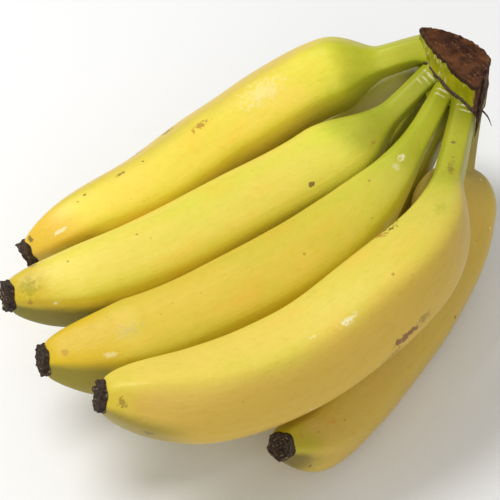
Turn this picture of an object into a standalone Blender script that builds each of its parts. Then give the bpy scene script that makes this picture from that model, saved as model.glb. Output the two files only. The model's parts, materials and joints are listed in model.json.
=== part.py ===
"""A hand of bananas, lying on the backs of its lower row, with the crown and the tips raised.

Metres, +Z up. +X points to the crown, -X to the tips, and -Y is the near side.
"""

import math

import bmesh
import bpy
from mathutils import Matrix, Vector

MM = 0.001
GAP = 0.3 * MM            # air between neighbouring pieces

SIDES = 20                # corners round a banana: four to each of its five faces
RIDGE_DEPTH = 0.05        # how far the flat faces lie inside the ridges, as a share of the radius

END_SIDES = 15            # corners round a dried flower end

# Middle line of each banana in millimetres, from inside the crown to the tip. Then its girth: the radius of the
# body and of the neck, the shares of its length where the neck ends, the body is full and the taper starts, how
# blunt the taper is, the radius of its tip, and how late the shoulder swells (1 is even, less is sudden).
# stub: length of the dried flower end.
BANANAS = {
    "upper_1": {
        "line": [(95, 16.5, 71), (91, 22.5, 68), (81.5, 30, 62.5), (58.5, 41.5, 56), (19, 42, 49),
                 (-19.5, 36.5, 46.5), (-51, 34.5, 49), (-69, 36.5, 44.5)],
        "radius": 14.9, "root": 5.7, "neck": 0.12, "full": 0.23, "taper": 0.45, "blunt": 3.7, "tip": 4.9,
        "swell": 1.55, "stub": 3.2,
    },
    "upper_2": {
        "line": [(95, 11, 67), (87, 10.5, 65), (68.5, 9.5, 56.5), (37, 6, 50), (3, 5.5, 49), (-32.5, 5, 48.5),
                 (-65, 7, 51), (-90, 13.5, 55)],
        "radius": 16.3, "root": 4.5, "neck": 0.13, "full": 0.31, "taper": 0.58, "blunt": 3.8, "tip": 5.4,
        "swell": 1.7, "stub": 2.4,
    },
    "upper_3": {
        "line": [(94, 4, 66.5), (87, 1, 63.5), (63.5, -11, 58.5), (33, -25, 59), (2.5, -30.5, 54),
                 (-32, -29.5, 51), (-65.5, -25.5, 49.5), (-94.5, -16.5, 53)],
        "radius": 16.9, "root": 4.2, "neck": 0.08, "full": 0.56, "taper": 0.84, "blunt": 1.5, "tip": 5.5,
        "swell": 1.9, "stub": 2.2,
    },
    "upper_4": {
        "line": [(94, -6, 67), (87.5, -11, 63.5), (64, -31.5, 59.5), (39, -53.5, 63), (12.5, -63.5, 62),
                 (-26.5, -65.5, 54), (-61.5, -60, 54), (-91, -47, 61.5)],
        "radius": 17.5, "root": 5.2, "neck": 0.19, "full": 0.54, "taper": 0.56, "blunt": 4.5, "tip": 5.4,
        "swell": 1.07, "stub": 2.2,
    },
    "lower_1": {
        "line": [(94.5, 11.5, 62), (96, 19, 54), (88, 28.5, 43.5), (62, 33, 22), (32, 30, 16), (-2, 26, 16),
                 (-36, 23, 19), (-63.5, 25, 27.5)],
        "radius": 17.2, "root": 5.4, "neck": 0.09, "full": 0.43, "taper": 0.58, "blunt": 2.6, "tip": 5.2,
        "swell": 1.2, "stub": 2.4,
    },
    "lower_2": {
        "line": [(93.5, 2, 66), (95, 3, 56.5), (85.5, 7.5, 43.5), (60.5, 2.5, 21.5), (31, -8, 16),
                 (-3.5, -12.5, 16), (-40, -12, 19.5), (-68, -7, 28)],
        "radius": 17.3, "root": 5.5, "neck": 0.07, "full": 0.60, "taper": 0.62, "blunt": 2.6, "tip": 5.2,
        "swell": 1.1, "stub": 2.4,
    },
    "lower_3": {
        "line": [(94, -6.5, 67), (92.5, -8, 57), (86.5, -13, 43.5), (69.5, -28.5, 21), (42, -44, 16),
                 (8, -58, 14.5), (-22, -72, 18.5), (-42, -78, 32.5)],
        "radius": 16.0, "root": 5.0, "neck": 0.16, "full": 0.24, "taper": 0.69, "blunt": 1.5, "tip": 4.8,
        "swell": 0.55, "stub": 2.4,
    },
}

# Shares of the length at which a banana has a ring.
STATIONS = [0, 0.035, 0.07, 0.10, 0.13, 0.16, 0.175, 0.19, 0.21, 0.235, 0.28, 0.34, 0.41, 0.48, 0.55, 0.62, 0.69,
            0.76, 0.82, 0.87, 0.91, 0.945, 0.97, 0.988, 1.0]

# Crown: its outline from above in millimetres, a nearly straight side towards the necks and a round back. Then
# its rings, from the underside up, and those of the dried cut face: height and size as a share of the outline.
CROWN_OUTLINE = [(88.0, -16.3), (94.5, -12.8), (100.4, -9), (101.3, -2), (100.3, 5), (98, 11.5), (94.6, 18),
                 (91.4, 21.2), (90, 17), (88.4, 9.5), (87.9, 3), (87.0, -4), (87.2, -10)]
CROWN_MIDDLE = Vector((94.3, 1.5))
CROWN_RINGS = [(56.5, 0.66), (57.7, 0.85), (61.0, 0.96), (69.5, 1.0), (76.0, 0.99), (79.0, 0.97)]
CUT_FACE_RINGS = [(79.3, 0.98), (80.4, 0.97), (81.0, 0.92)]
CUT_SLOPE = 0.15          # rise of the cut to +X
CROWN_STEPS = 2           # corners for each point of the outline

MIDDLE = (-1.7, 13.8, 0.0)  # shift (mm) that puts the middle of the hand's footprint at the origin


def remove_all():
    for item in list(bpy.data.objects):
        bpy.data.objects.remove(item, do_unlink=True)


def make_material(name, colour, roughness):
    material = bpy.data.materials.new(name)
    material.use_nodes = True
    shader = material.node_tree.nodes["Principled BSDF"]
    shader.inputs["Base Color"].default_value = (*colour, 1.0)
    shader.inputs["Roughness"].default_value = roughness
    shader.inputs["Metallic"].default_value = 0.0
    return material


def curve(before, start, end, after, steps):
    """Points of a smooth curve from start up to end, which is left out."""
    line = []
    for step in range(steps):
        t = step / steps
        line.append(0.5 * (2 * start + (end - before) * t
                           + (2 * before - 5 * start + 4 * end - after) * t * t
                           + (3 * start - before - 3 * end + after) * t ** 3))
    return line


def smooth_line(points, steps=12):
    """Points of a smooth curve through the given ones."""
    knots = [Vector(p) * MM for p in points]
    knots = [knots[0] * 2 - knots[1]] + knots + [knots[-1] * 2 - knots[-2]]
    line = []
    for four in zip(knots, knots[1:], knots[2:], knots[3:]):
        line += curve(*four, steps)
    line.append(knots[-2])
    return line


def smooth_outline(points, steps):
    """Points of a smooth closed curve through the given ones."""
    knots = [Vector(p) for p in points]
    knots = knots[-1:] + knots + knots[:2]
    line = []
    for four in zip(knots, knots[1:], knots[2:], knots[3:]):
        line += curve(*four, steps)
    return line


def point_at(line, share):
    """Position on the line at a share of its length."""
    lengths = [(b - a).length for a, b in zip(line, line[1:])]
    left = share * sum(lengths)
    for start, end, length in zip(line, line[1:], lengths):
        if left <= length:
            return start.lerp(end, left / length)
        left -= length
    return line[-1].copy()


def frames_along(line, stations):
    """A matrix for each station: Z along the banana, X on the inner side of its curve."""
    frames = []
    inner = Vector((-1, 0, 1)).normalized()
    last = None
    for share in stations:
        ahead = point_at(line, min(1.0, share + 0.01))
        behind = point_at(line, max(0.0, share - 0.01))
        along = (ahead - behind).normalized()
        if last is not None:
            inner = last.rotation_difference(along) @ inner
        inner = (inner - along * inner.dot(along)).normalized()
        side = along.cross(inner)
        turn = Matrix((inner, side, along)).transposed().to_4x4()
        frames.append(Matrix.Translation(point_at(line, share)) @ turn)
        last = along
    return frames


def girth(share, banana):
    """Radius of a banana at a share of its length."""
    full = banana["radius"] * MM
    root = banana["root"] * MM
    neck = banana["neck"]
    if share <= neck:
        return root * (1 + 0.1 * (share / neck) ** 2)
    if share < banana["full"]:
        t = (share - neck) / (banana["full"] - neck)
        return root * 1.1 + (full - root * 1.1) * math.sin(t * math.pi / 2) ** banana["swell"]
    if share <= banana["taper"]:
        return full
    t = (share - banana["taper"]) / (1 - banana["taper"])
    tip = banana["tip"] * MM
    return tip + (full - tip) * max(0.0, 1 - t ** banana["blunt"]) ** 0.75


def add_ring(bm, sides, shape, matrix):
    """A loop of edges whose radius at each angle is given by shape."""
    verts = bmesh.ops.create_circle(bm, segments=sides, radius=1.0)["verts"]
    for vert in verts:
        angle = math.atan2(vert.co.y, vert.co.x)
        vert.co = matrix @ (vert.co * shape(angle))
    return list({edge for vert in verts for edge in vert.link_edges})


def loft(bm, loops):
    """Skin over the loops, closed by a face at each end."""
    for first, second in zip(loops, loops[1:]):
        bmesh.ops.bridge_loops(bm, edges=first + second)
    for end in (loops[0], loops[-1]):
        bmesh.ops.contextual_create(bm, geom=end)
    bmesh.ops.recalc_face_normals(bm, faces=bm.faces)


def finish(bm, name, material, smooth=True):
    mesh = bpy.data.meshes.new(name)
    bm.to_mesh(mesh)
    bm.free()
    mesh.materials.append(material)
    for face in mesh.polygons:
        face.use_smooth = smooth
    item = bpy.data.objects.new(name, mesh)
    bpy.context.scene.collection.objects.link(item)
    return item


def cut_flat_below(bm):
    """Flat spot where the banana lies on the table."""
    bmesh.ops.bisect_plane(bm, geom=bm.verts[:] + bm.edges[:] + bm.faces[:], dist=1e-6,
                           plane_co=(0, 0, 0), plane_no=(0, 0, -1), clear_outer=True)
    rim = [edge for edge in bm.edges if edge.is_boundary]
    if rim:
        bmesh.ops.contextual_create(bm, geom=rim)
        bmesh.ops.recalc_face_normals(bm, faces=bm.faces)


def make_banana(name, banana, material):
    line = smooth_line(banana["line"])
    frames = frames_along(line, STATIONS)
    bm = bmesh.new()
    loops = []
    for share, frame in zip(STATIONS, frames):
        radius = girth(share, banana)
        flat = RIDGE_DEPTH * min(1.0, radius / (0.6 * banana["radius"] * MM))

        def shape(angle):
            return radius * (1 - flat * (0.5 - 0.5 * math.cos(5 * angle)))

        loops.append(add_ring(bm, SIDES, shape, frame))
    loft(bm, loops)
    cut_flat_below(bm)
    return finish(bm, name, material), frames[-1]


def make_flower_end(name, frame, banana, material):
    """Dried stub: it flares a little, and its end is hollow."""
    radius = banana["tip"] * MM
    length = banana["stub"] * MM
    bm = bmesh.new()
    loops = []
    for height, width in ((GAP, 0.97), (0.3 * length, 0.92), (0.75 * length, 0.97), (length, 0.84),
                          (0.72 * length, 0.45)):
        matrix = frame @ Matrix.Translation((0, 0, height))
        loops.append(add_ring(bm, END_SIDES, lambda angle: radius * width * (1 + 0.05 * math.cos(5 * angle)),
                              matrix))
    loft(bm, loops)
    return finish(bm, name, material)


def make_crown(name, rings, material, grow=0.0):
    """Cushion with the crown's outline. grow widens it all round, in millimetres."""
    outline = smooth_outline(CROWN_OUTLINE, CROWN_STEPS)
    bm = bmesh.new()
    loops = []
    for height, size in rings:
        verts = bmesh.ops.create_circle(bm, segments=len(outline), radius=1.0)["verts"]
        for vert, spot in zip(verts, outline):
            out = spot - CROWN_MIDDLE
            spot = CROWN_MIDDLE + out * size + out.normalized() * grow
            slope = CUT_SLOPE * (height - CROWN_RINGS[0][0]) / (CROWN_RINGS[-1][0] - CROWN_RINGS[0][0])
            vert.co = Vector((spot.x, spot.y, height + slope * (spot.x - CROWN_MIDDLE.x))) * MM
        loops.append(list({edge for vert in verts for edge in vert.link_edges}))
    loft(bm, loops)
    return finish(bm, name, material)


def trim_to_crown(item, cutter):
    """Cut the neck to the shape of the crown, a gap away from it."""
    cut = item.modifiers.new("root", "BOOLEAN")
    cut.operation = "DIFFERENCE"
    cut.solver = "EXACT"
    cut.object = cutter


def main():
    remove_all()
    hand = bpy.data.objects.new("hand", None)
    hand.location = Vector(MIDDLE) * MM
    bpy.context.scene.collection.objects.link(hand)
    peel = make_material("yellow peel", (0.78, 0.62, 0.10), 0.45)
    green = make_material("green crown", (0.42, 0.48, 0.07), 0.5)
    brown = make_material("dried cut face", (0.16, 0.07, 0.03), 0.85)
    dark = make_material("dried flower end", (0.05, 0.035, 0.025), 0.9)

    make_crown("crown", CROWN_RINGS, green)
    make_crown("crown_cut_face", CUT_FACE_RINGS, brown)

    below = (CROWN_RINGS[0][0] - GAP / MM, CROWN_RINGS[0][1])
    cutter = make_crown("crown_space", [below] + CROWN_RINGS[1:-1] + [(83.0, 0.97)], green, grow=GAP / MM)
    cutter.hide_render = True
    cutter.display_type = "WIRE"

    for key, banana in BANANAS.items():
        item, tip = make_banana("banana_" + key, banana, peel)
        trim_to_crown(item, cutter)
        make_flower_end("flower_end_" + key, tip, banana, dark)

    for item in bpy.data.objects:
        if item != hand:
            item.parent = hand


main()
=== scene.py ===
"""Fine finish for the hand of bananas: skins, crown, dried ends, floor, light and camera."""

import json
import math

import bmesh
import bpy
from mathutils import Matrix, Vector, noise

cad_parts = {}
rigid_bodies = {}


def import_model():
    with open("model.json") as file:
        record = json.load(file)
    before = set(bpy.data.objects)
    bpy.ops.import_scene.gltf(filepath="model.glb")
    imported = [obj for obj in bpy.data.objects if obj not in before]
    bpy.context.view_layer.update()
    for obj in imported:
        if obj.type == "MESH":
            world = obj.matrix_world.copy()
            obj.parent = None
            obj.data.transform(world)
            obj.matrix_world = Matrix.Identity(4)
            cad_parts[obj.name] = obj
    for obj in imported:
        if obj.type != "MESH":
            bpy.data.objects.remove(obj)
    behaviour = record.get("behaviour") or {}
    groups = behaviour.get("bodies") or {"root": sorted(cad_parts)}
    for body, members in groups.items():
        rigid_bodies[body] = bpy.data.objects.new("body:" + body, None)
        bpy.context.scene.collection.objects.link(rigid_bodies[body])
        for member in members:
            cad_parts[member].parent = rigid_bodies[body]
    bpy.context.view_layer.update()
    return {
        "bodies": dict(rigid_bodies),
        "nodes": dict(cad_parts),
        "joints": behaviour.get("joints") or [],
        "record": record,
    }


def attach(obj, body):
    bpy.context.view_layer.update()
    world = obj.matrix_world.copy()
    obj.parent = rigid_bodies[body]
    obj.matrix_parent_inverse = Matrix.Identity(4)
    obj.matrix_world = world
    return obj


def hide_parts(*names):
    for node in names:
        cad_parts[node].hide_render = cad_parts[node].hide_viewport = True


MM = 0.001
MIDDLE = Vector((-1.7, 13.8, 0.0)) * MM   # puts the middle of the hand's footprint at the origin

SKIN_SIDES = 100
SKIN_RINGS = 150
CLOSER = 0.6              # how much closer the rings stand near the ends. 0 would make them even
RIDGE_DEPTH = 0.075       # how far the flat faces lie inside the ridges, as a share of the radius
RIDGE_OUT = 0.02          # how far the ridges lie outside the even radius
RIDGE_SOFT = 0.17         # 0 would make the ridges sharp
NECK_RIDGE = 0.05         # how much deeper the faces are at the crown, down to 0 at NECK_RIDGE_END
NECK_RIDGE_END = 0.32
TIP_RIDGE = 0.03          # how much deeper they are at the tip, from 0 at TIP_RIDGE_START
TIP_RIDGE_START = 0.85
TIP_RIDGE_LENGTH = 0.15
NECK_SWELL = 0.1          # how much thicker the neck is at its end than at the crown
FLARE = 0.2               # how much it widens where it enters the crown, down to 0 at FLARE_END
FLARE_END = 0.06
WEB_END = 0.4             # share of the length where the web has thinned out
TAPER_POWER = 0.75        # 1 would make the taper slimmer
LUMPS = 0.35 * MM         # height of the slow lumps in the skin
LUMP_SCALE = 45           # more makes them smaller

# Middle line of each banana in millimetres, from inside the crown to the tip. Then its girth: the radius
# of the body and of the neck, the shares of its length where the neck ends, the body is full and the taper
# starts, how blunt the taper is, the radius of its tip, and how late the shoulder swells (1 is even, less
# is sudden). stub: length of the dried flower end. turn: where one of its ridges runs at half length, in
# degrees round from the inner side. wind: how far the ridges turn over the whole length, in degrees.
# web: extra radius at the crown.
BANANAS = {
    "upper_1": {
        "line": [(95, 16.5, 71), (91, 22.5, 68), (81.5, 30, 62.5), (58.5, 41.5, 56), (19, 42, 49),
                 (-19.5, 36.5, 46.5), (-51, 34.5, 49), (-69, 36.5, 44.5)],
        "radius": 14.9, "root": 5.7, "neck": 0.12, "full": 0.23, "taper": 0.45, "blunt": 3.7, "tip": 4.9,
        "swell": 1.55, "stub": 3.2, "turn": 27, "wind": 20, "web": 0.0,
    },
    "upper_2": {
        "line": [(95, 11, 67), (87, 10.5, 65), (68.5, 9.5, 56.5), (37, 6, 50), (3, 5.5, 49),
                 (-32.5, 5, 48.5), (-65, 7, 51), (-90, 13.5, 55)],
        "radius": 16.3, "root": 4.5, "neck": 0.13, "full": 0.31, "taper": 0.58, "blunt": 3.8, "tip": 5.4,
        "swell": 1.7, "stub": 2.4, "turn": -68, "wind": 10, "web": 0.0,
    },
    "upper_3": {
        "line": [(94, 4, 66.5), (87, 1, 63.5), (63.5, -11, 58.5), (33, -25, 59), (2.5, -30.5, 54),
                 (-32, -29.5, 51), (-65.5, -25.5, 49.5), (-94.5, -16.5, 53)],
        "radius": 16.9, "root": 4.2, "neck": 0.08, "full": 0.56, "taper": 0.84, "blunt": 1.5, "tip": 5.5,
        "swell": 1.9, "stub": 2.2, "turn": -74, "wind": 15, "web": 0.0,
    },
    "upper_4": {
        "line": [(94, -6, 67), (87.5, -11, 63.5), (64, -31.5, 59.5), (39, -53.5, 63), (12.5, -63.5, 62),
                 (-26.5, -65.5, 54), (-61.5, -60, 54), (-91, -47, 61.5)],
        "radius": 17.5, "root": 5.2, "neck": 0.19, "full": 0.54, "taper": 0.56, "blunt": 4.5, "tip": 5.4,
        "swell": 1.07, "stub": 2.2, "turn": -58, "wind": 30, "web": 0.0,
    },
    "lower_1": {
        "line": [(94.5, 11.5, 62), (96, 19, 54), (88, 28.5, 43.5), (62, 33, 22), (32, 30, 16), (-2, 26, 16),
                 (-36, 23, 19), (-63.5, 25, 27.5)],
        "radius": 17.2, "root": 5.4, "neck": 0.09, "full": 0.43, "taper": 0.58, "blunt": 2.6, "tip": 5.2,
        "swell": 1.2, "stub": 2.4, "turn": 0, "wind": 0, "web": 2.2,
    },
    "lower_2": {
        "line": [(93.5, 2, 66), (95, 3, 56.5), (85.5, 7.5, 43.5), (60.5, 2.5, 21.5), (31, -8, 16),
                 (-3.5, -12.5, 16), (-40, -12, 19.5), (-68, -7, 28)],
        "radius": 17.3, "root": 5.5, "neck": 0.07, "full": 0.60, "taper": 0.62, "blunt": 2.6, "tip": 5.2,
        "swell": 1.1, "stub": 2.4, "turn": 0, "wind": 0, "web": 4.2,
    },
    "lower_3": {
        "line": [(94, -6.5, 67), (92.5, -8, 57), (86.5, -13, 43.5), (69.5, -28.5, 21), (42, -44, 16),
                 (8, -58, 14.5), (-22, -72, 18.5), (-42, -78, 32.5)],
        "radius": 16.0, "root": 5.0, "neck": 0.16, "full": 0.24, "taper": 0.69, "blunt": 1.5, "tip": 4.8,
        "swell": 0.55, "stub": 2.4, "turn": -30, "wind": 0, "web": 0.5,
    },
}

# Crown: its outline from above in millimetres, and its rings from the underside up, as height and size.
CROWN_OUTLINE = [(88.0, -16.3), (94.5, -12.8), (100.4, -9), (101.3, -2), (100.3, 5), (98, 11.5),
                 (94.6, 18), (91.4, 21.2), (90, 17), (88.4, 9.5), (87.9, 3), (87.0, -4), (87.2, -10)]
CROWN_MIDDLE = Vector((94.3, 1.5))
CROWN_STEPS = 12
CROWN_CORNERS = len(CROWN_OUTLINE) * CROWN_STEPS
CUT_SLOPE = 0.15
CUT_HEIGHT = 79.0         # height in mm where the slope is full
CROWN_ROUGH = 0.35        # height in mm of the fibres and pits
CUT_ROUGH = 0.7
CROWN_RINGS = [(56.5, 0.60), (57.0, 0.74), (57.9, 0.86), (59.5, 0.93), (61.0, 0.96), (63.5, 0.975),
               (66.0, 0.985), (67.5, 0.99), (68.6, 1.0), (69.3, 1.01), (70.0, 1.015), (70.7, 1.0),
               (72.0, 0.985), (74.0, 0.98), (76.0, 0.98), (77.5, 0.975), (78.6, 0.965), (79.2, 0.95)]
CUT_RINGS = [(77.8, 0.93), (78.3, 0.965), (78.9, 0.985), (79.6, 0.99), (80.3, 0.985), (80.8, 0.97),
             (81.1, 0.945), (81.0, 0.90), (80.6, 0.86), (80.4, 0.80), (80.5, 0.74), (80.3, 0.67),
             (80.5, 0.59), (80.35, 0.51), (80.5, 0.43), (80.35, 0.34), (80.5, 0.25), (80.4, 0.16),
             (80.45, 0.08)]

# Dried pieces: numbers of sides and rings, the corners of the outline that the edge runs between, and
# points and half widths in mm of the flap and the hair.
END_SIDES = 72
FLAP_SIDES = 14
HAIR_SIDES = 8
EDGE_SIDES = 10
EDGE_RINGS = 120
EDGE_FIRST = 40
EDGE_LAST = 157
EDGE_HEIGHT = 69.9
EDGE_THICK = 0.72
FLAP_LINE = [(93.1, -14.6, 79.8), (90.9, -15.9, 73), (89.5, -16.9, 66), (88.4, -17.6, 61), (87.6, -17.9, 57)]
FLAP_WIDTHS = [0.7, 1.3, 1.2, 0.7, 0.12]
FLAP_THICK = 0.4          # as a share of its width
HAIR_LINE = [(95.2, -12.6, 62.0), (96.3, -14.6, 59.8), (96.4, -17.0, 57.2)]
HAIR_WIDTHS = [0.40, 0.26, 0.12]
HAIR_THICK = 1.0

# Colours of the crown: where the dark line runs, where the brown rim starts and ends, and which way and how
# far out the dried near end starts and ends, all in mm.
LINE_HEIGHT = 69.6
RIM_HEIGHTS = (78.6, 79.4)
NEAR_END_SIDE = (0.507, -0.861, 0)
NEAR_END_AT = (44.3, 45.3)

# Camera and light in degrees, metres and watts, the lens and its sensor in millimetres.
CAMERA_AZIMUTH = -35.31
CAMERA_ELEVATION = 46.0
CAMERA_DISTANCE = 0.75
CAMERA_AIM = Vector((0, 0, 0.035))
LENS = 150
SENSOR = 36
WORLD_LIGHT = 0.46
LIGHT_AIM = Vector((0, 0, 0.03))
KEY_LIGHT = {"place": (-0.26, 0.36, 0.9), "size": 0.45, "power": 6.2}
FILL_LIGHT = {"place": (-0.45, -0.8, 0.7), "size": 0.8, "power": 2.8}
FLOOR_SIZE = 3.0


# Curves

def curve(before, start, end, after, steps):
    """Points of a smooth curve from start up to end, which is left out."""
    line = []
    for count in range(steps):
        t = count / steps
        line.append(0.5 * (2 * start + (end - before) * t
                           + (2 * before - 5 * start + 4 * end - after) * t * t
                           + (3 * start - before - 3 * end + after) * t ** 3))
    return line


def smooth_line(points, steps=16):
    """Points of a smooth curve through the given ones, in the hand's own place."""
    knots = [Vector(p) * MM + MIDDLE for p in points]
    knots = [knots[0] * 2 - knots[1]] + knots + [knots[-1] * 2 - knots[-2]]
    line = []
    for four in zip(knots, knots[1:], knots[2:], knots[3:]):
        line += curve(*four, steps)
    line.append(knots[-2])
    return line


def smooth_outline(points, steps):
    """Points of a smooth closed curve through the given ones, in millimetres."""
    knots = [Vector(p) for p in points]
    knots = knots[-1:] + knots + knots[:2]
    line = []
    for four in zip(knots, knots[1:], knots[2:], knots[3:]):
        line += curve(*four, steps)
    return line


def line_length(line):
    """Length of a line of points."""
    return sum((b - a).length for a, b in zip(line, line[1:]))


def point_at(line, share):
    """Position on the line at a share of its length."""
    left = share * line_length(line)
    for start, end in zip(line, line[1:]):
        length = (end - start).length
        if left <= length:
            return start.lerp(end, left / length)
        left -= length
    return line[-1].copy()


def frames_along(line, stations):
    """A matrix for each station: Z along the banana, X on the inner side of its curve."""
    frames = []
    inner = Vector((-1, 0, 1)).normalized()
    last = None
    for share in stations:
        ahead = point_at(line, min(1.0, share + 0.01))
        along = (ahead - point_at(line, max(0.0, share - 0.01))).normalized()
        if last is not None:
            inner = last.rotation_difference(along) @ inner
        inner = (inner - along * inner.dot(along)).normalized()
        turn = Matrix((inner, along.cross(inner), along)).transposed().to_4x4()
        frames.append(Matrix.Translation(point_at(line, share)) @ turn)
        last = along
    return frames


# Mesh helpers

def ring_of(bm, sides):
    """A closed loop of corners and its edges."""
    verts = bmesh.ops.create_circle(bm, segments=sides, radius=1.0)["verts"]
    return verts, list({edge for vert in verts for edge in vert.link_edges})


def pull(bm, edges):
    """Extrudes a loop. Returns the new corners and edges."""
    made = bmesh.ops.extrude_edge_only(bm, edges=edges)["geom"]
    verts = [item for item in made if isinstance(item, bmesh.types.BMVert)]
    new = set(verts)
    return verts, [item for item in made if isinstance(item, bmesh.types.BMEdge)
                   and item.verts[0] in new and item.verts[1] in new]


def grow(bm, sides, rings, place):
    """A skin over rings. place(vert, number of the corner, ring) sets each corner. Both ends are closed."""
    number = bm.verts.layers.int.new("corner")
    verts, edges = ring_of(bm, sides)
    for count, vert in enumerate(verts):
        vert[number] = count
    first = edges
    for ring in range(rings):
        if ring:
            verts, edges = pull(bm, edges)
        for vert in verts:
            place(vert, vert[number], ring)
    for end in (first, edges):
        cap = bmesh.ops.contextual_create(bm, geom=end)["faces"]
        bmesh.ops.poke(bm, faces=cap)
    bm.verts.layers.int.remove(bm.verts.layers.int["corner"])


def finish_piece(bm, name, material, node):
    """Turns a bmesh into a smooth piece of the hand."""
    bmesh.ops.recalc_face_normals(bm, faces=bm.faces)
    mesh = bpy.data.meshes.new(name)
    bm.to_mesh(mesh)
    bm.free()
    mesh.materials.append(material)
    mesh.shade_smooth()
    piece = bpy.data.objects.new(name, mesh)
    bpy.context.scene.collection.objects.link(piece)
    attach(piece, "root")
    if node:
        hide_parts(node)
    return piece


# Bananas

def girth(share, banana):
    """Radius of a banana at a share of its length. A web thickens the necks that grow together."""
    full = banana["radius"] * MM
    root = (banana["root"] + banana["web"] * max(0.0, 1 - share / WEB_END)) * MM
    neck = banana["neck"]
    if share <= neck:
        flare = FLARE * max(0.0, 1 - share / FLARE_END) ** 2
        return root * (1 + NECK_SWELL * (share / neck) ** 2 + flare)
    if share < banana["full"]:
        t = (share - neck) / (banana["full"] - neck)
        thick = root * (1 + NECK_SWELL)
        return thick + (full - thick) * math.sin(t * math.pi / 2) ** banana["swell"]
    if share <= banana["taper"]:
        return full
    t = (share - banana["taper"]) / (1 - banana["taper"])
    tip = banana["tip"] * MM
    return tip + (full - tip) * max(0.0, 1 - t ** banana["blunt"]) ** TAPER_POWER


def softened(wave):
    """Rounds off the ridges, where the wave is 0."""
    return math.sqrt(wave * wave + RIDGE_SOFT ** 2) - RIDGE_SOFT


def flatness(angle, share, banana):
    """0 on one of the five ridges, 1 in the middle of a flat face. The ridges wind round the fruit."""
    turn = math.radians(banana["turn"] + banana["wind"] * (share - 0.5))
    wave = abs(math.sin(2.5 * (angle - turn)))
    return softened(wave) / softened(1)


def ridged(flat, share):
    """Radius as a share of the full one."""
    depth = RIDGE_DEPTH + NECK_RIDGE * max(0.0, 1 - share / NECK_RIDGE_END)
    depth += TIP_RIDGE * max(0.0, (share - TIP_RIDGE_START) / TIP_RIDGE_LENGTH)
    return 1 + RIDGE_OUT - depth * flat


def make_skin(key, banana, material, seed):
    """One banana. Its skin keeps the place of each corner on the straightened fruit, for the material."""
    line = smooth_line(banana["line"])
    length = line_length(line)
    even = [i / (SKIN_RINGS - 1) for i in range(SKIN_RINGS)]
    closer = [0.5 - 0.5 * math.cos(math.pi * share) for share in even]
    stations = [CLOSER * a + (1 - CLOSER) * b for a, b in zip(closer, even)]
    frames = frames_along(line, stations)
    bm = bmesh.new()
    straight = bm.verts.layers.float_vector.new("straight")
    share_of = bm.verts.layers.float.new("along")
    ridge_of = bm.verts.layers.float.new("ridge")

    def place(vert, corner, ring):
        share = stations[ring]
        angle = 2 * math.pi * corner / SKIN_SIDES
        out = Vector((math.cos(angle), math.sin(angle), 0))
        flat = flatness(angle, share, banana)
        radius = girth(share, banana) * ridged(flat, share)
        lump = noise.noise((frames[ring] @ (out * radius)) * LUMP_SCALE + Vector((seed, 0, 0)))
        radius += lump * LUMPS * min(1.0, radius / (10 * MM))
        spot = frames[ring] @ (out * radius)
        vert.co = (spot.x, spot.y, max(spot.z, 0.0))
        vert[straight] = Vector((out.x * radius, out.y * radius, share * length)) / MM
        vert[share_of] = share
        vert[ridge_of] = 1 - flat

    grow(bm, SKIN_SIDES, SKIN_RINGS, place)
    finish_piece(bm, "skin_" + key, material, "banana_" + key)
    return frames[-1]


# Dried end: height as a share of the stub and width as a share of the tip, over the rim and into the
# hollow face.
END_PROFILE = [(-0.5, 0.86), (-0.25, 0.97), (-0.03, 1.02), (0.12, 1.02), (0.30, 0.97), (0.50, 0.95),
               (0.70, 0.96), (0.88, 0.98), (1.0, 0.94), (1.02, 0.87), (0.93, 0.80), (0.84, 0.73),
               (0.90, 0.66), (0.86, 0.58), (0.74, 0.50), (0.80, 0.42), (0.76, 0.33), (0.66, 0.25),
               (0.70, 0.16), (0.64, 0.08)]


def make_dried_end(key, banana, frame, material, seed):
    """Dried flower end: a dark stub with a torn rim and a hollow, ringed face."""
    bm = bmesh.new()
    straight = bm.verts.layers.float_vector.new("straight")

    def place(vert, corner, ring):
        height, width = END_PROFILE[ring]
        rim = max(0.0, height)
        height *= banana["stub"]
        angle = 2 * math.pi * corner / END_SIDES
        radius = banana["tip"] * width * (1 + 0.05 * math.cos(5 * angle + seed))
        flat = Vector((math.cos(angle) * radius, math.sin(angle) * radius, 0))
        torn = noise.noise(Vector((flat.x, flat.y, height)) * 0.55 + Vector((seed, seed, 0)))
        torn += 0.6 * noise.noise(Vector((flat.x, flat.y, height * 0.4)) * 1.6 + Vector((0, seed, 0)))
        spot = flat * (1 + 0.05 * torn)
        spot.z = height + (0.15 + 0.5 * rim) * torn
        vert.co = frame @ (spot * MM)
        vert[straight] = Vector((flat.x, flat.y, height))

    grow(bm, END_SIDES, len(END_PROFILE), place)
    finish_piece(bm, "dried_end_" + key, material, "flower_end_" + key)


# Crown

def crown_spot(share, height, size, outline, out=0.0):
    """Place on the crown: share of the way round, height in mm, size as a share of the outline."""
    spot = outline[round(share * len(outline)) % len(outline)] - CROWN_MIDDLE
    spot = CROWN_MIDDLE + spot * size + spot.normalized() * out
    slope = CUT_SLOPE * (height - CROWN_RINGS[0][0]) / (CUT_HEIGHT - CROWN_RINGS[0][0])
    return Vector((spot.x, spot.y, height + slope * (spot.x - CROWN_MIDDLE.x))) * MM + MIDDLE


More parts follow.
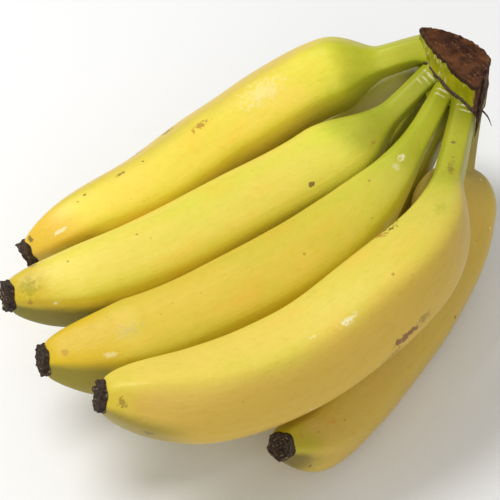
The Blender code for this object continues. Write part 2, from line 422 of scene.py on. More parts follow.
def make_crown(name, rings, rough, material, node, seed):
    """Crown or cut face. Its corners keep their way round, height and size, for the material."""
    outline = smooth_outline(CROWN_OUTLINE, CROWN_STEPS)
    lengths = [0.0]
    for a, b in zip(outline, outline[1:]):
        lengths.append(lengths[-1] + (b - a).length)
    bm = bmesh.new()
    side = bm.verts.layers.float_vector.new("side")

    def place(vert, corner, ring):
        height, size = rings[ring]
        share = corner / len(outline)
        spot = crown_spot(share, height, size, outline)
        fibre = noise.noise(Vector((spot.x * 600, spot.y * 600, spot.z * 60 + seed)))
        pits = noise.noise(spot * 1100 + Vector((seed, 0, 0)))
        out = spot - (Vector((*CROWN_MIDDLE, 0)) * MM + MIDDLE)
        out.z = 0
        spot += out.normalized() * fibre * rough * MM * min(1.0, size * 2)
        spot.z += pits * rough * 0.8 * MM
        vert.co = spot
        vert[side] = Vector((lengths[corner], height, size))

    grow(bm, len(outline), len(rings), place)
    return finish_piece(bm, name, material, node)


def make_fibre(name, points, widths, thick, material, seed, sides):
    """A dried strip or thread along given points. widths in mm go with them, thick is a share."""
    line = smooth_line(points, 10)
    stations = [i / (len(line) - 1) for i in range(len(line))]
    frames = frames_along(line, stations)
    knots = [Vector((w, 0, 0)) for w in widths]
    knots = [knots[0]] + knots + [knots[-1]]
    sizes = []
    for four in zip(knots, knots[1:], knots[2:], knots[3:]):
        sizes += [p.x for p in curve(*four, 10)]
    sizes.append(widths[-1])
    bm = bmesh.new()

    def place(vert, corner, ring):
        angle = 2 * math.pi * corner / sides
        torn = 1 + 0.25 * noise.noise(Vector((math.cos(angle), math.sin(angle), ring * 0.45 + seed)))
        wide = max(0.08, sizes[ring]) * torn
        vert.co = frames[ring] @ (Vector((math.cos(angle) * wide * thick, math.sin(angle) * wide, 0)) * MM)

    grow(bm, sides, len(line), place)
    return finish_piece(bm, name, material, None)


def make_edge(name, height, first, last, thick, material, seed):
    """A ragged dried edge round the crown at one height, between two shares of the way round."""
    outline = smooth_outline(CROWN_OUTLINE, CROWN_STEPS)
    end = EDGE_RINGS - 1
    shares = [first + (last - first) * i / end for i in range(EDGE_RINGS)]
    spots = [crown_spot(share, height, 1.0, outline, 0.15) for share in shares]
    bm = bmesh.new()

    def place(vert, corner, ring):
        along = (spots[min(ring + 1, end)] - spots[max(ring - 1, 0)]).normalized()
        up = Vector((0, 0, 1))
        out = along.cross(up).normalized()
        spot = spots[ring]
        angle = 2 * math.pi * corner / EDGE_SIDES
        torn = noise.noise(spot * 420 + Vector((seed, 0, 0)))
        frayed = noise.noise(Vector((spot.x * 1500, spot.y * 1500, corner * 0.7 + seed)))
        thin = min(1.0, 0.15 + ring / 6, 0.15 + (end - ring) / 6)
        wide = thick * (1 + 0.7 * torn + 0.5 * frayed) * thin
        drop = Vector((0, 0, 1.1 * noise.noise(spot * 260 + Vector((0, seed, 0)))))
        vert.co = spot + (out * math.cos(angle) * wide * 0.7 + up * math.sin(angle) * wide + drop) * MM

    grow(bm, EDGE_SIDES, EDGE_RINGS, place)
    return finish_piece(bm, name, material, None)


# Materials

def feed(tree, socket, value):
    """Links another node's output to a socket, or sets the socket's own value."""
    if isinstance(value, bpy.types.NodeSocket):
        tree.links.new(value, socket)
    else:
        socket.default_value = value


def add(tree, kind, links=None, **settings):
    """Adds a node. links: socket name or number -> value or another node's output."""
    node = tree.nodes.new(kind)
    for name, value in settings.items():
        setattr(node, name, value)
    for key, value in (links or {}).items():
        feed(tree, node.inputs[key], value)
    return node


def new_group(name, inputs, outputs):
    """An empty node group. inputs and outputs: name -> kind of socket and value."""
    group = bpy.data.node_groups.new(name, "ShaderNodeTree")
    for label, (kind, value) in inputs.items():
        socket = group.interface.new_socket(label, in_out="INPUT", socket_type=kind)
        if value is not None:
            socket.default_value = value
    for label, kind in outputs.items():
        group.interface.new_socket(label, in_out="OUTPUT", socket_type=kind)
    start = group.nodes.new("NodeGroupInput")
    end = group.nodes.new("NodeGroupOutput")
    return group, start, end


def use_group(tree, group, links):
    """A node that runs a group."""
    node = tree.nodes.new("ShaderNodeGroup")
    node.node_tree = group
    for key, value in links.items():
        feed(tree, node.inputs[key], value)
    return node


def mix(tree, factor, a, b, how="MIX"):
    """Colour mix of a and b."""
    node = tree.nodes.new("ShaderNodeMix")
    node.data_type = "RGBA"
    node.blend_type = how
    for number, value in ((0, factor), (6, a), (7, b)):
        feed(tree, node.inputs[number], value)
    return node.outputs[2]


def tinted(tree, colour, tint):
    """The colour times a tint."""
    return mix(tree, 1.0, colour, (*tint, 1), "MULTIPLY")


def sums(tree, how, a, b=None, c=None):
    """A sum with numbers."""
    links = {i: v for i, v in enumerate((a, b, c)) if v is not None}
    return add(tree, "ShaderNodeMath", links, operation=how).outputs[0]


def vector(tree, how, a, b=None):
    """A sum with vectors. A length and a dot product give a number."""
    links = {0: a} if b is None else {0: a, 1: b}
    node = add(tree, "ShaderNodeVectorMath", links, operation=how)
    return node.outputs["Value" if how in ("LENGTH", "DOT_PRODUCT") else "Vector"]


def attribute(tree, name, output="Vector"):
    """A value that each corner of the mesh keeps."""
    return add(tree, "ShaderNodeAttribute", attribute_name=name).outputs[output]


def step(tree, value, low, high, out_low=0.0, out_high=1.0):
    """Smooth step of a value from low to high."""
    return add(tree, "ShaderNodeMapRange", {0: value, 1: low, 2: high, 3: out_low, 4: out_high},
               interpolation_type="SMOOTHSTEP").outputs[0]


def grain(tree, place, scale, detail=2.0, rough=0.5, lengthwise=None):
    """Noise on a place in mm. lengthwise stretches it along the fruit."""
    if lengthwise:
        place = vector(tree, "MULTIPLY", place, (1, 1, lengthwise))
    return add(tree, "ShaderNodeTexNoise", {"Vector": place, "Scale": scale, "Detail": detail,
                                            "Roughness": rough}).outputs[0]


# Colours of the crown, the dried parts and the floor: red, green, blue and opacity.
GREEN_DEEP = (0.27, 0.27, 0.002, 1)
GREEN_PALE = (0.40, 0.37, 0.008, 1)
SAP = (0.72, 0.66, 0.34, 1)
LINE_DARK = (0.035, 0.022, 0.014, 1)
WALL_DEEP = (0.055, 0.020, 0.010, 1)
WALL_BROWN = (0.20, 0.085, 0.040, 1)
RIM_BROWN = (0.07, 0.035, 0.015, 1)
CUT_DEEP = (0.042, 0.012, 0.004, 1)
CUT_RED = (0.165, 0.055, 0.015, 1)
CUT_FIBRE = (0.25, 0.10, 0.033, 1)
CUT_PIT = (0.03, 0.012, 0.008, 1)
CUT_RIM = (0.030, 0.018, 0.012, 1)
CUT_SPECK = (0.30, 0.24, 0.16, 1)
END_DARK = (0.020, 0.013, 0.009, 1)
END_BROWN = (0.085, 0.055, 0.034, 1)
END_FLECK = (0.34, 0.25, 0.13, 1)
FIBRE_DARK = (0.035, 0.022, 0.015, 1)
FIBRE_BROWN = (0.14, 0.09, 0.055, 1)
FLOOR_DARKER = (0.87, 0.87, 0.87, 1)
FLOOR_LIGHTER = (0.89, 0.89, 0.89, 1)

# Tints that vary the peel: red, green and blue that its colour is multiplied by.
GREENER = (0.86, 0.98, 0.62)
WARMER = (1.05, 0.93, 0.85)
RIDGE_TINT = (0.88, 0.95, 0.55)
STREAK_TINT = (1.05, 1.03, 1.25)
MOTTLE_TINT = (0.92, 0.89, 0.70)
FRECKLE_TINT = (0.62, 0.42, 0.28)

# Kinds of socket.
VEC = "NodeSocketVector"
NUM = "NodeSocketFloat"
COL = "NodeSocketColor"


def mark_group():
    """Mask of one mark on the peel: a blot, streak or line with a ragged edge."""
    group, start, end = new_group(
        "peel mark",
        {"Place": (VEC, None), "Centre": (VEC, None), "Size": (VEC, (1, 1, 1)), "Ragged": (NUM, 0.5),
         "Soft": (NUM, 0.3)},
        {"Mask": NUM})
    g = start.outputs
    away = vector(group, "SUBTRACT", g["Place"], g["Centre"])
    far = vector(group, "LENGTH", vector(group, "DIVIDE", away, g["Size"]))
    rag = sums(group, "SUBTRACT", grain(group, g["Place"], 0.75, 4.0, 0.65), 0.5)
    rag = sums(group, "MULTIPLY", rag, sums(group, "MULTIPLY", g["Ragged"], 2.6))
    far = sums(group, "ADD", far, rag)
    mask = step(group, far, 1.0, sums(group, "SUBTRACT", 1.0, g["Soft"]))
    group.links.new(mask, end.inputs["Mask"])
    return group


def peel_group():
    """Colour, roughness and relief of banana peel, from the green neck to the tip."""
    group, start, end = new_group(
        "banana peel",
        {"Place": (VEC, None), "Along": (NUM, 0.5), "Ridge": (NUM, 0.0), "Neck end": (NUM, 0.16),
         "Lemon end": (NUM, 0.42), "Tip start": (NUM, 0.93), "Under start": (NUM, 0.85),
         "Root": (COL, (0.30, 0.30, 0.010, 1)), "Neck": (COL, (0.37, 0.37, 0.020, 1)),
         "Lemon": (COL, (0.66, 0.60, 0.06, 1)), "Body": (COL, (0.80, 0.64, 0.09, 1)),
         "Tip": (COL, (0.80, 0.57, 0.05, 1)), "Outer": (COL, (0.68, 0.46, 0.08, 1)),
         "Outer side": (VEC, (0, -1, 0)), "Outer amount": (NUM, 0.5), "Under": (COL, (0.22, 0.19, 0.012, 1)),
         "Under side": (VEC, (-1, 0, 0)), "Ridge amount": (NUM, 0.4), "Freckles": (NUM, 0.5)},
        {"Color": COL, "Roughness": NUM, "Height": NUM})
    g = start.outputs
    place = g["Place"]
    # the colour borders wander a little
    wander = sums(group, "SUBTRACT", grain(group, place, 0.06, 3.0, lengthwise=0.5), 0.5)
    wander = sums(group, "MULTIPLY", wander, 0.16)
    along = sums(group, "ADD", g["Along"], wander)
    colour = mix(group, step(group, g["Along"], 0.03, 0.12), g["Root"], g["Neck"])
    colour = mix(group, step(group, along, sums(group, "SUBTRACT", g["Neck end"], 0.05),
                             sums(group, "ADD", g["Neck end"], 0.08)), colour, g["Lemon"])
    colour = mix(group, step(group, along, g["Neck end"], g["Lemon end"]), colour, g["Body"])
    # slow blotches, greener and more golden
    blotch = step(group, grain(group, place, 0.045, 3.0, 0.6, 0.5), 0.42, 0.66)
    greener = tinted(group, colour, GREENER)
    colour = mix(group, sums(group, "MULTIPLY", blotch, 0.6), colour, greener)
    gold = step(group, grain(group, place, 0.07, 3.0, 0.6, 0.35), 0.52, 0.72)
    warmer = tinted(group, colour, WARMER)
    colour = mix(group, sums(group, "MULTIPLY", gold, step(group, along, 0.25, 0.5)), colour, warmer)
    # the outer side gets a tan colour past the neck: partly its own colour, partly painted shade on the
    # faces turned from the light
    facing = vector(group, "NORMALIZE", vector(group, "MULTIPLY", place, (1, 1, 0)))
    side = vector(group, "DOT_PRODUCT", facing, g["Outer side"])
    side = sums(group, "ADD", side, sums(group, "MULTIPLY", wander, 2.0))
    outer = sums(group, "MULTIPLY", step(group, side, 0.42, 0.90), step(group, along, 0.12, 0.30))
    colour = mix(group, sums(group, "MULTIPLY", outer, g["Outer amount"]), colour, g["Outer"])
    # ridges are a little greener and deeper
    edge = sums(group, "MULTIPLY", step(group, g["Ridge"], 0.25, 1.0), g["Ridge amount"])
    colour = mix(group, edge, colour, tinted(group, colour, RIDGE_TINT))
    # the last part of the fruit, and the olive side under the tip, its own olive colour darkened further
    # with painted shade
    last = step(group, along, g["Tip start"], sums(group, "ADD", g["Tip start"], 0.08))
    colour = mix(group, last, colour, g["Tip"])
    under = vector(group, "DOT_PRODUCT", facing, g["Under side"])
    under = sums(group, "ADD", under, sums(group, "MULTIPLY", wander, 3.0))
    late = step(group, along, g["Under start"], sums(group, "ADD", g["Under start"], 0.09))
    olive_and_shade = sums(group, "MULTIPLY", late, step(group, under, 0.28, 0.62))
    colour = mix(group, olive_and_shade, colour, g["Under"])
    # fine lengthwise streaks and mottling
    streak = step(group, grain(group, place, 0.55, 3.0, 0.6, 0.05), 0.35, 0.75)
    paler = tinted(group, colour, STREAK_TINT)
    colour = mix(group, sums(group, "MULTIPLY", streak, 0.5), colour, paler)
    mottle = step(group, grain(group, place, 0.5, 4.0, 0.65, 0.6), 0.45, 0.8)
    deeper = tinted(group, colour, MOTTLE_TINT)
    colour = mix(group, sums(group, "MULTIPLY", mottle, 0.7), colour, deeper)
    # tiny brown freckles, a few of the cells of a fine pattern
    cells = add(group, "ShaderNodeTexVoronoi", {"Vector": place, "Scale": 0.33, "Randomness": 1.0})
    pick = step(group, grain(group, place, 0.12, 1.0), 0.50, 0.62)
    dot = step(group, cells.outputs["Distance"], 0.17, 0.06)
    chance = add(group, "ShaderNodeSeparateColor", {0: cells.outputs["Color"]}).outputs[0]
    dot = sums(group, "MULTIPLY", dot, step(group, chance, 0.72, 0.80))
    dot = sums(group, "MULTIPLY", sums(group, "MULTIPLY", dot, pick), g["Freckles"])
    brown = tinted(group, colour, FRECKLE_TINT)
    colour = mix(group, dot, colour, brown)
    rough = sums(group, "MULTIPLY_ADD", grain(group, place, 0.35, 3.0, 0.6, 0.4), 0.22, 0.33)
    fine = grain(group, place, 2.2, 3.0, 0.6)
    ribs = grain(group, place, 1.1, 2.0, 0.5, 0.04)
    dents = grain(group, place, 0.22, 2.0, 0.5)
    height = sums(group, "MULTIPLY_ADD", ribs, 0.5, sums(group, "MULTIPLY", fine, 0.28))
    height = sums(group, "MULTIPLY_ADD", dents, 0.9, height)
    group.links.new(colour, end.inputs["Color"])
    group.links.new(rough, end.inputs["Roughness"])
    group.links.new(height, end.inputs["Height"])
    return group


def new_material(name):
    """An empty material, its node tree and its shader."""
    material = bpy.data.materials.new(name)
    material.use_nodes = True
    tree = material.node_tree
    shader = tree.nodes["Principled BSDF"]
    shader.inputs["Specular IOR Level"].default_value = 0.25
    return material, tree, shader


def finish_surface(tree, shader, colour, rough, height, strength, distance):
    """Gives a material its colour, roughness and bumps."""
    bump = add(tree, "ShaderNodeBump", {"Height": height, "Strength": strength, "Distance": distance})
    tree.links.new(colour, shader.inputs["Base Color"])
    tree.links.new(rough, shader.inputs["Roughness"])
    tree.links.new(bump.outputs[0], shader.inputs["Normal"])


def banana_material(key, peel, mark, values, marks):
    """Peel of one banana. marks: centre, size, ragged edge, softness, colour and strength of each."""
    material, tree, shader = new_material("peel " + key.replace("_", " "))
    place = attribute(tree, "straight")
    along = attribute(tree, "along", "Fac")
    ridge = attribute(tree, "ridge", "Fac")
    skin = use_group(tree, peel, {"Place": place, "Along": along, "Ridge": ridge, **values})
    colour = skin.outputs["Color"]
    for centre, size, ragged, soft, tint, strength in marks:
        mask = use_group(tree, mark, {"Place": place, "Centre": centre, "Size": size, "Ragged": ragged,
                                      "Soft": soft}).outputs["Mask"]
        mask = sums(tree, "MULTIPLY", mask, strength)
        colour = mix(tree, mask, colour, (*tint, 1))
    rough, height = skin.outputs["Roughness"], skin.outputs["Height"]
    finish_surface(tree, shader, colour, rough, height, 0.35, 0.0006)
    shader.inputs["Specular IOR Level"].default_value = 0.32
    return material


def object_place(tree):
    """Object coordinates in millimetres."""
    place = add(tree, "ShaderNodeTexCoord").outputs["Object"]
    return vector(tree, "MULTIPLY", place, (1000, 1000, 1000))


def crown_material():
    """Green cushion with whitish streaks, a dark dried line under its band and a brown, fibrous end."""
    material, tree, shader = new_material("green crown")
    place = object_place(tree)
    height = add(tree, "ShaderNodeSeparateXYZ", {0: attribute(tree, "side")}).outputs["Y"]
    across = vector(tree, "MULTIPLY", place, (1, 1, 0.22))
    fibre = grain(tree, across, 0.8, 3.0, 0.6)
    patch = grain(tree, place, 0.16, 3.0, 0.6)
    colour = mix(tree, step(tree, patch, 0.35, 0.7), GREEN_DEEP, GREEN_PALE)
    # whitish dried sap, in clumps of short streaks
    pale = sums(tree, "MULTIPLY", step(tree, grain(tree, across, 1.3, 3.0, 0.6), 0.50, 0.62),
                step(tree, grain(tree, place, 0.20, 2.0), 0.52, 0.58))
    colour = mix(tree, sums(tree, "MULTIPLY", pale, 0.85), colour, SAP)
    wave = sums(tree, "MULTIPLY", sums(tree, "SUBTRACT", grain(tree, place, 0.35, 3.0), 0.5), 2.2)
    off = sums(tree, "ABSOLUTE", sums(tree, "SUBTRACT", sums(tree, "ADD", height, wave), LINE_HEIGHT))
    line = step(tree, off, 1.3, 0.6)
    colour = mix(tree, line, colour, LINE_DARK)
    near = vector(tree, "DOT_PRODUCT", place, NEAR_END_SIDE)
    near = sums(tree, "ADD", near, sums(tree, "MULTIPLY", wave, 0.6))
    dry = step(tree, near, *NEAR_END_AT)
    brown = mix(tree, step(tree, fibre, 0.4, 0.65), WALL_DEEP, WALL_BROWN)
    colour = mix(tree, dry, colour, brown)
    rim = sums(tree, "ADD", height, sums(tree, "MULTIPLY", wave, 1.1))
    colour = mix(tree, step(tree, rim, *RIM_HEIGHTS, 0.0, 0.9), colour, RIM_BROWN)
    rough = step(tree, sums(tree, "MAXIMUM", dry, line), 0.0, 1.0, 0.48, 0.85)
    relief = sums(tree, "MULTIPLY_ADD", fibre, 0.8, patch)
    finish_surface(tree, shader, colour, rough, relief, 0.6, 0.0008)
    return material


def cut_material():
    """Dried cut: reddish-brown fibres along the crown, darker at the rim and in the pits."""
    material, tree, shader = new_material("dried cut")
    place = object_place(tree)
    size = add(tree, "ShaderNodeSeparateXYZ", {0: attribute(tree, "side")}).outputs["Z"]
    lengthwise = vector(tree, "MULTIPLY", place, (1, 0.22, 1))
    fibre = grain(tree, lengthwise, 0.9, 4.0, 0.65)
    patch = grain(tree, place, 0.10, 3.0, 0.6)
    fine = grain(tree, place, 2.5, 3.0, 0.7)
    colour = mix(tree, step(tree, patch, 0.36, 0.62), CUT_DEEP, CUT_RED)
    colour = mix(tree, step(tree, fibre, 0.50, 0.75), colour, CUT_FIBRE)
    colour = mix(tree, step(tree, fine, 0.58, 0.75, 0.0, 0.5), colour, CUT_PIT)
    rim = step(tree, sums(tree, "MULTIPLY_ADD", fine, 0.08, size), 1.0, 1.03)
    colour = mix(tree, sums(tree, "MULTIPLY", rim, 0.8), colour, CUT_RIM)
    speck = step(tree, grain(tree, place, 1.4, 2.0), 0.66, 0.72)
    colour = mix(tree, sums(tree, "MULTIPLY", speck, 0.5), colour, CUT_SPECK)
    relief = sums(tree, "MULTIPLY_ADD", fibre, 1.5, fine)
    finish_surface(tree, shader, colour, step(tree, fine, 0.2, 0.8, 0.7, 0.95), relief, 0.8, 0.001)
    return material


def end_material():
    """Dried flower end: near-black brown fibres with pale flecks round the face."""
    material, tree, shader = new_material("dried flower end")
    here = object_place(tree)
    out = vector(tree, "LENGTH", vector(tree, "MULTIPLY", attribute(tree, "straight"), (1, 1, 0)))
    noisy = grain(tree, here, 0.9, 4.0, 0.7)
    ring = sums(tree, "SINE", sums(tree, "MULTIPLY_ADD", noisy, 5.0, sums(tree, "MULTIPLY", out, 4.2)))
    colour = mix(tree, step(tree, noisy, 0.35, 0.65), END_DARK, END_BROWN)
    pale = step(tree, grain(tree, here, 0.6, 3.0), 0.52, 0.62)
    pale = sums(tree, "MULTIPLY", step(tree, ring, 0.55, 0.95), pale)
    colour = mix(tree, sums(tree, "MULTIPLY", pale, 0.75), colour, END_FLECK)
    relief = sums(tree, "MULTIPLY_ADD", ring, 0.25, noisy)
    finish_surface(tree, shader, colour, step(tree, noisy, 0.3, 0.7, 0.75, 0.95), relief, 0.9, 0.0008)
    return material


def fibre_material():
    """Dried fibre hanging from the crown."""
    material, tree, shader = new_material("dried fibre")
    strand = grain(tree, object_place(tree), 1.5, 3.0, 0.6, 0.2)
    colour = mix(tree, step(tree, strand, 0.35, 0.7), FIBRE_DARK, FIBRE_BROWN)
    finish_surface(tree, shader, colour, step(tree, strand, 0.3, 0.7, 0.7, 0.9), strand, 0.8, 0.0006)
    return material


def floor_material():
    """Pale, even floor."""
    material, tree, shader = new_material("pale floor")
    place = object_place(tree)
    shade = mix(tree, grain(tree, place, 0.004, 2.0), FLOOR_DARKER, FLOOR_LIGHTER)
    tree.links.new(shade, shader.inputs["Base Color"])
    shader.inputs["Roughness"].default_value = 0.9
    return material


# Colours and marks of the bananas

def toward(degrees):
    """A direction across the fruit, from the inner side round."""
    return math.cos(math.radians(degrees)), math.sin(math.radians(degrees)), 0


def rgb(*parts):
    """A colour with full opacity."""
    return (*parts, 1)


# Peel of each banana. The sides are in degrees round from the inner side.
PEEL_VALUES = {
    # upper_1's tan Outer colour lies on its far face, turned from the light, and is painted shade
    "upper_1": {"Neck end": 0.20, "Lemon end": 0.36, "Root": rgb(0.44, 0.44, 0.03),
                "Neck": rgb(0.52, 0.51, 0.03), "Lemon": rgb(0.84, 0.74, 0.06),
                "Body": rgb(0.92, 0.71, 0.10), "Tip": rgb(0.78, 0.51, 0.045),
                "Outer": rgb(0.68, 0.50, 0.09), "Outer side": toward(75), "Outer amount": 0.9,
                "Under": rgb(0.60, 0.44, 0.04), "Under side": toward(-110), "Tip start": 0.86,
                "Ridge amount": 0.7},
    "upper_2": {"Neck end": 0.24, "Lemon end": 0.50, "Root": rgb(0.34, 0.35, 0.015),
                "Neck": rgb(0.42, 0.42, 0.03), "Lemon": rgb(0.76, 0.70, 0.08),
                "Body": rgb(0.83, 0.68, 0.11), "Tip": rgb(0.63, 0.46, 0.025),
                "Outer": rgb(0.74, 0.60, 0.05), "Outer side": toward(-102), "Outer amount": 0.6,
                "Under": rgb(0.22, 0.19, 0.012), "Under side": toward(-150), "Tip start": 0.90,
                "Under start": 0.80, "Ridge amount": 0.6},
    "upper_3": {"Neck end": 0.22, "Lemon end": 0.60, "Root": rgb(0.32, 0.33, 0.010),
                "Neck": rgb(0.45, 0.45, 0.025), "Lemon": rgb(0.63, 0.60, 0.06),
                "Body": rgb(0.71, 0.52, 0.055), "Tip": rgb(0.66, 0.45, 0.015),
                "Outer": rgb(0.66, 0.54, 0.04), "Outer side": toward(-118), "Outer amount": 0.85,
                "Under": rgb(0.30, 0.24, 0.012), "Under side": toward(-140), "Tip start": 0.86,
                "Under start": 0.84, "Ridge amount": 0.5},
    "upper_4": {"Neck end": 0.22, "Lemon end": 0.50, "Root": rgb(0.22, 0.23, 0.003),
                "Neck": rgb(0.42, 0.41, 0.025), "Lemon": rgb(0.63, 0.58, 0.06),
                "Body": rgb(0.76, 0.59, 0.085), "Tip": rgb(0.64, 0.50, 0.03),
                "Outer": rgb(0.64, 0.42, 0.06), "Outer side": toward(-106), "Outer amount": 0.95,
                "Under": rgb(0.36, 0.27, 0.035), "Under side": toward(-168), "Tip start": 0.94,
                "Under start": 0.86, "Ridge amount": 0.15},
    # lower_1's pale grey-green neck colour is painted light: much paler than the other necks, so that it
    # looks lit in the shade between upper_1 and upper_2
    "lower_1": {"Neck end": 0.30, "Lemon end": 0.60, "Root": rgb(0.22, 0.22, 0.02),
                "Neck": rgb(0.74, 0.66, 0.20), "Lemon": rgb(0.55, 0.50, 0.08),
                "Outer side": toward(-60)},
    "lower_2": {"Neck end": 0.34, "Lemon end": 0.60, "Root": rgb(0.20, 0.20, 0.01),
                "Neck": rgb(0.36, 0.34, 0.02), "Lemon": rgb(0.55, 0.48, 0.06),
                "Outer side": toward(-60)},
    "lower_3": {"Neck end": 0.14, "Lemon end": 0.30, "Root": rgb(0.26, 0.24, 0.06),
                "Neck": rgb(0.36, 0.29, 0.07), "Lemon": rgb(0.62, 0.45, 0.09),
                "Body": rgb(0.65, 0.44, 0.07), "Tip": rgb(0.46, 0.38, 0.015),
                "Outer": rgb(0.62, 0.42, 0.07), "Outer side": toward(-90), "Outer amount": 0.8,
                "Under": rgb(0.20, 0.15, 0.02), "Under side": toward(170), "Tip start": 0.93,
                "Under start": 0.90, "Ridge amount": 0.2},
}

BROWN = (0.13, 0.055, 0.018)
RUST = (0.42, 0.20, 0.025)
OLIVE = (0.42, 0.34, 0.002)
GREY = (0.45, 0.40, 0.20)
CREAM = (0.86, 0.80, 0.50)
SHADE = (0.18, 0.12, 0.03)


def dots(places, size, tint, strength):
    """Small round marks."""
    return [(place, (size, size, size), 0.8, 0.5, tint, strength) for place in places]


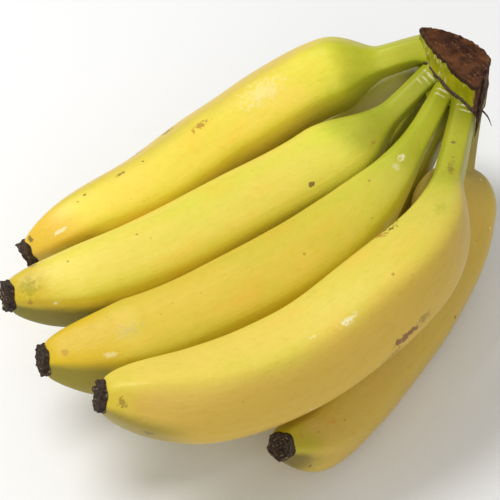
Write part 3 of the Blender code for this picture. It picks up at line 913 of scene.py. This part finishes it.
# Marks on the peel: place on the straightened fruit and size in mm, ragged edge, softness, colour,
# strength. banana_lower_1 and banana_lower_2 have none.
MARKS = {
    "upper_1": [
        # painted highlight: a broad pale sheen patch on the top of the fruit
        ((14.0, 1.0, 72.0), (7.5, 5.0, 11.0), 1.6, 0.9, (0.92, 0.80, 0.36), 0.6),
        ((5.4, 12.9, 123.4), (2.0, 2.2, 4.4), 1.2, 0.4, BROWN, 0.85),
        ((8.1, 11.9, 107.9), (1.5, 1.7, 3.4), 1.2, 0.4, BROWN, 0.75),
        ((14.3, 4.1, 100.1), (1.2, 1.4, 4.6), 1.4, 0.5, RUST, 0.75),
        ((12.6, 5.6, 139.5), (0.8, 0.9, 2.6), 1.2, 0.5, BROWN, 0.7),
        # painted shade: grey on the far face of the shoulder, turned from the light
        ((4.1, 8.6, 28.3), (3.0, 4.2, 11.0), 0.8, 0.9, GREY, 0.5),
        ((9.0, -2.7, 165.9), (0.9, 0.7, 3.2), 1.0, 0.3, CREAM, 0.7),
        ((6.0, 2.0, 175.6), (1.4, 1.6, 1.4), 1.0, 0.4, SHADE, 0.85),
        *dots([(10.6, 4.5, 154.5), (10.8, 3.4, 157.5), (13.4, 5.9, 128.0),
               (11.4, 7.9, 121.5)], 0.7, BROWN, 0.7),
        *dots([(7.8, -5.4, 164.1), (14.9, 1.6, 60.0)], 0.7, CREAM, 0.7)],
    "upper_2": [
        ((8.7, 3.2, 181.3), (1.9, 1.6, 1.9), 0.8, 0.4, BROWN, 0.7),
        ((8.9, 3.3, 181.4), (0.9, 0.8, 0.9), 0.5, 0.4, RUST, 0.8),
        ((6.7, -4.5, 185.0), (5.0, 5.5, 5.5), 0.8, 0.9, OLIVE, 1.0),
        ((7.6, -3.4, 181.6), (1.0, 1.2, 1.6), 1.0, 0.5, BROWN, 0.4),
        ((2.8, -7.9, 185.0), (1.0, 1.2, 1.4), 0.8, 0.5, RUST, 0.7),
        ((9.9, -11.9, 75.6), (0.9, 1.0, 1.8), 1.0, 0.3, BROWN, 0.8),
        ((6.7, -9.7, 44.4), (1.0, 1.0, 2.6), 1.2, 0.5, RUST, 0.6),
        ((3.3, -2.6, 7.4), (4.5, 3.6, 0.6), 0.9, 0.7, CREAM, 0.6),
        ((3.5, -2.4, 9.4), (3.6, 3.0, 0.55), 0.9, 0.7, CREAM, 0.5),
        ((3.9, -1.8, 11.2), (3.0, 2.4, 0.5), 0.9, 0.7, CREAM, 0.4),
        *dots([(16.2, -2.5, 139.2), (16.0, -1.5, 143.4), (13.2, -1.3, 170.5),
               (15.8, 1.1, 92.0)], 0.75, RUST, 0.65),
        *dots([(6.2, -14.6, 84.5), (8.7, -12.7, 70.7), (6.4, -14.3, 74.0),
               (16.0, 0.5, 101.5)], 0.65, RUST, 0.7),
        *dots([(3.7, -10.7, 177.0)], 0.8, CREAM, 0.9)],
    "upper_3": [
        ((6.5, -3.8, 48.5), (1.3, 1.3, 3.0), 0.5, 0.25, CREAM, 0.85),
        ((6.9, -3.9, 49.3), (0.7, 0.7, 1.8), 0.5, 0.25, (0.60, 0.55, 0.10), 0.85),
        ((6.9, -4.8, 54.6), (1.4, 1.7, 2.2), 0.6, 0.4, CREAM, 0.4),
        ((12.7, -8.5, 173.5), (2.6, 3.4, 8.0), 1.4, 0.95, GREY, 0.3),
        ((6.1, -6.1, 194.4), (1.3, 1.6, 2.0), 1.0, 0.5, RUST, 0.5),
        ((7.2, -12.7, 181.0), (1.0, 1.2, 3.4), 1.0, 0.5, CREAM, 0.4),
        ((3.4, -2.0, 8.4), (4.4, 3.6, 0.6), 0.9, 0.7, CREAM, 0.6),
        ((3.6, -1.8, 10.6), (3.6, 3.0, 0.55), 0.9, 0.7, CREAM, 0.5),
        *dots([(11.0, -3.2, 67.8), (6.4, -12.1, 77.7), (12.0, -10.4, 105.6),
               (14.5, -8.0, 160.0)], 0.65, RUST, 0.65)],
    "upper_4": [
        ((14.7, 3.4, 89.9), (2.0, 2.4, 2.6), 2.0, 0.3, BROWN, 0.85),
        ((15.2, 3.4, 94.3), (1.8, 2.4, 2.4), 2.0, 0.3, RUST, 0.85),
        ((13.8, 4.3, 84.8), (1.6, 1.6, 2.2), 1.8, 0.3, BROWN, 0.8),
        ((10.1, -13.3, 125.2), (1.7, 1.7, 5.0), 1.0, 0.5, CREAM, 0.8),
        ((11.9, -12.0, 139.4), (0.8, 0.8, 1.8), 1.0, 0.4, CREAM, 0.5),
        ((-7.7, -15.4, 111.5), (1.6, 1.9, 6.5), 1.1, 0.4, (0.22, 0.09, 0.03), 0.9),
        ((-7.4, -15.6, 104.5), (1.8, 1.8, 4.5), 1.0, 0.6, SHADE, 0.5),
        ((-10.3, -13.2, 118.5), (1.6, 1.8, 6.0), 1.2, 0.6, SHADE, 0.6),
        ((-11.7, -11.5, 127.0), (1.2, 1.4, 3.0), 1.4, 0.4, BROWN, 0.7),
        ((-10.2, -13.0, 147.8), (1.4, 1.6, 4.0), 1.0, 0.6, CREAM, 0.45),
        ((5.1, -1.5, 27.0), (0.9, 1.1, 0.8), 1.0, 0.4, SHADE, 0.75),
        ((4.9, -3.4, 39.0), (1.4, 1.5, 6.5), 1.4, 0.5, (0.26, 0.18, 0.02), 0.75),
        # painted highlight: a long pale grey strip along a ridge of the neck
        ((0.3, -5.8, 30.0), (2.2, 2.4, 26.0), 0.6, 0.8, GREY, 0.6),
        ((10.9, -7.4, 72.1), (3.0, 3.4, 6.0), 1.0, 0.95, (0.38, 0.38, 0.02), 0.4),
        ((1.3, -8.4, 206.8), (1.6, 2.0, 1.2), 1.8, 0.3, BROWN, 0.5),
        ((-7.5, -9.5, 197.1), (1.2, 1.4, 2.0), 1.6, 0.3, BROWN, 0.6),
        ((4.3, -3.0, 9.0), (4.6, 3.8, 0.6), 0.9, 0.7, CREAM, 0.6),
        ((4.3, -3.0, 11.2), (3.8, 3.2, 0.55), 0.9, 0.7, CREAM, 0.5),
        *dots([(15.9, -8.0, 143.0), (-0.7, -17.4, 150.3), (-10.0, -12.8, 162.0),
               (11.8, -11.7, 105.2)], 0.6, RUST, 0.7),
        *dots([(-2.7, -11.6, 201.0)], 0.7, BROWN, 0.7),
        *dots([(15.7, -7.9, 109.5), (5.2, -14.2, 92.0)], 0.55, CREAM, 0.8)],
    "lower_3": [
        ((5.5, -9.4, 165.5), (1.2, 1.6, 3.4), 1.0, 0.6, (0.62, 0.30, 0.03), 0.7),
        ((2.5, -5.7, 182.4), (0.9, 1.0, 1.0), 0.8, 0.5, (0.55, 0.26, 0.02), 0.6),
        ((-5.7, -1.7, 184.2), (1.8, 2.0, 1.4), 1.2, 0.4, SHADE, 0.8),
        *dots([(-4.4, -15.7, 90.1), (-7.9, -3.5, 175.2)], 0.8, BROWN, 0.9),
        *dots([(4.0, -11.1, 159.6), (3.3, -7.8, 174.6)], 0.6, RUST, 0.7),
        *dots([(0.3, -10.9, 32.9), (-2.4, -16.1, 50.7)], 0.7, CREAM, 0.4)],
}


# Floor, camera and light

def make_floor():
    """The floor that the hand lies on. It is no part of the hand."""
    bm = bmesh.new()
    bmesh.ops.create_grid(bm, x_segments=1, y_segments=1, size=FLOOR_SIZE)
    mesh = bpy.data.meshes.new("floor")
    bm.to_mesh(mesh)
    bm.free()
    mesh.materials.append(floor_material())
    floor = bpy.data.objects.new("floor", mesh)
    bpy.context.scene.collection.objects.link(floor)


def add_camera():
    """The camera of the photo."""
    azimuth, elevation = math.radians(CAMERA_AZIMUTH), math.radians(CAMERA_ELEVATION)
    back = Vector((math.sin(azimuth) * math.cos(elevation), -math.cos(azimuth) * math.cos(elevation),
                   math.sin(elevation)))
    camera = bpy.data.objects.new("camera", bpy.data.cameras.new("camera"))
    camera.data.sensor_width = SENSOR
    camera.data.lens = LENS
    camera.location = CAMERA_AIM + MIDDLE + back * CAMERA_DISTANCE
    camera.rotation_euler = (-back).to_track_quat("-Z", "Y").to_euler()
    bpy.context.scene.collection.objects.link(camera)
    bpy.context.scene.camera = camera


def add_world():
    """Even white light from all sides."""
    world = bpy.data.worlds.new("studio")
    world.use_nodes = True
    background = world.node_tree.nodes["Background"]
    background.inputs["Color"].default_value = (1, 1, 1, 1)
    background.inputs["Strength"].default_value = WORLD_LIGHT
    bpy.context.scene.world = world
    bpy.context.scene.view_settings.view_transform = "Standard"


def add_light(name, place, size, power):
    """A round soft lamp that shines on the hand."""
    lamp = bpy.data.lights.new(name, "AREA")
    lamp.shape = "DISK"
    lamp.size = size
    lamp.energy = power
    item = bpy.data.objects.new(name, lamp)
    item.location = place
    item.rotation_euler = (LIGHT_AIM - Vector(place)).to_track_quat("-Z", "Y").to_euler()
    bpy.context.scene.collection.objects.link(item)


# Build

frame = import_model()

peel = peel_group()
mark = mark_group()
green = crown_material()
brown = cut_material()
dark = end_material()
dry = fibre_material()

for number, (key, banana) in enumerate(BANANAS.items()):
    skin = banana_material(key, peel, mark, PEEL_VALUES[key], MARKS.get(key, []))
    tip = make_skin(key, banana, skin, 3.1 * number)
    make_dried_end(key, banana, tip, dark, 1.7 * number)

make_crown("crown_cushion", CROWN_RINGS, CROWN_ROUGH, green, "crown", 2.0)
make_crown("crown_cut", CUT_RINGS, CUT_ROUGH, brown, "crown_cut_face", 7.0)
make_fibre("crown_flap", FLAP_LINE, FLAP_WIDTHS, FLAP_THICK, dry, 3.0, FLAP_SIDES)
make_fibre("crown_hair", HAIR_LINE, HAIR_WIDTHS, HAIR_THICK, dry, 5.0, HAIR_SIDES)
make_edge("crown_line", EDGE_HEIGHT, EDGE_FIRST / CROWN_CORNERS, EDGE_LAST / CROWN_CORNERS, EDGE_THICK, dry,
          4.0)

make_floor()
add_camera()
add_world()
add_light("key", **KEY_LIGHT)
add_light("fill", **FILL_LIGHT)
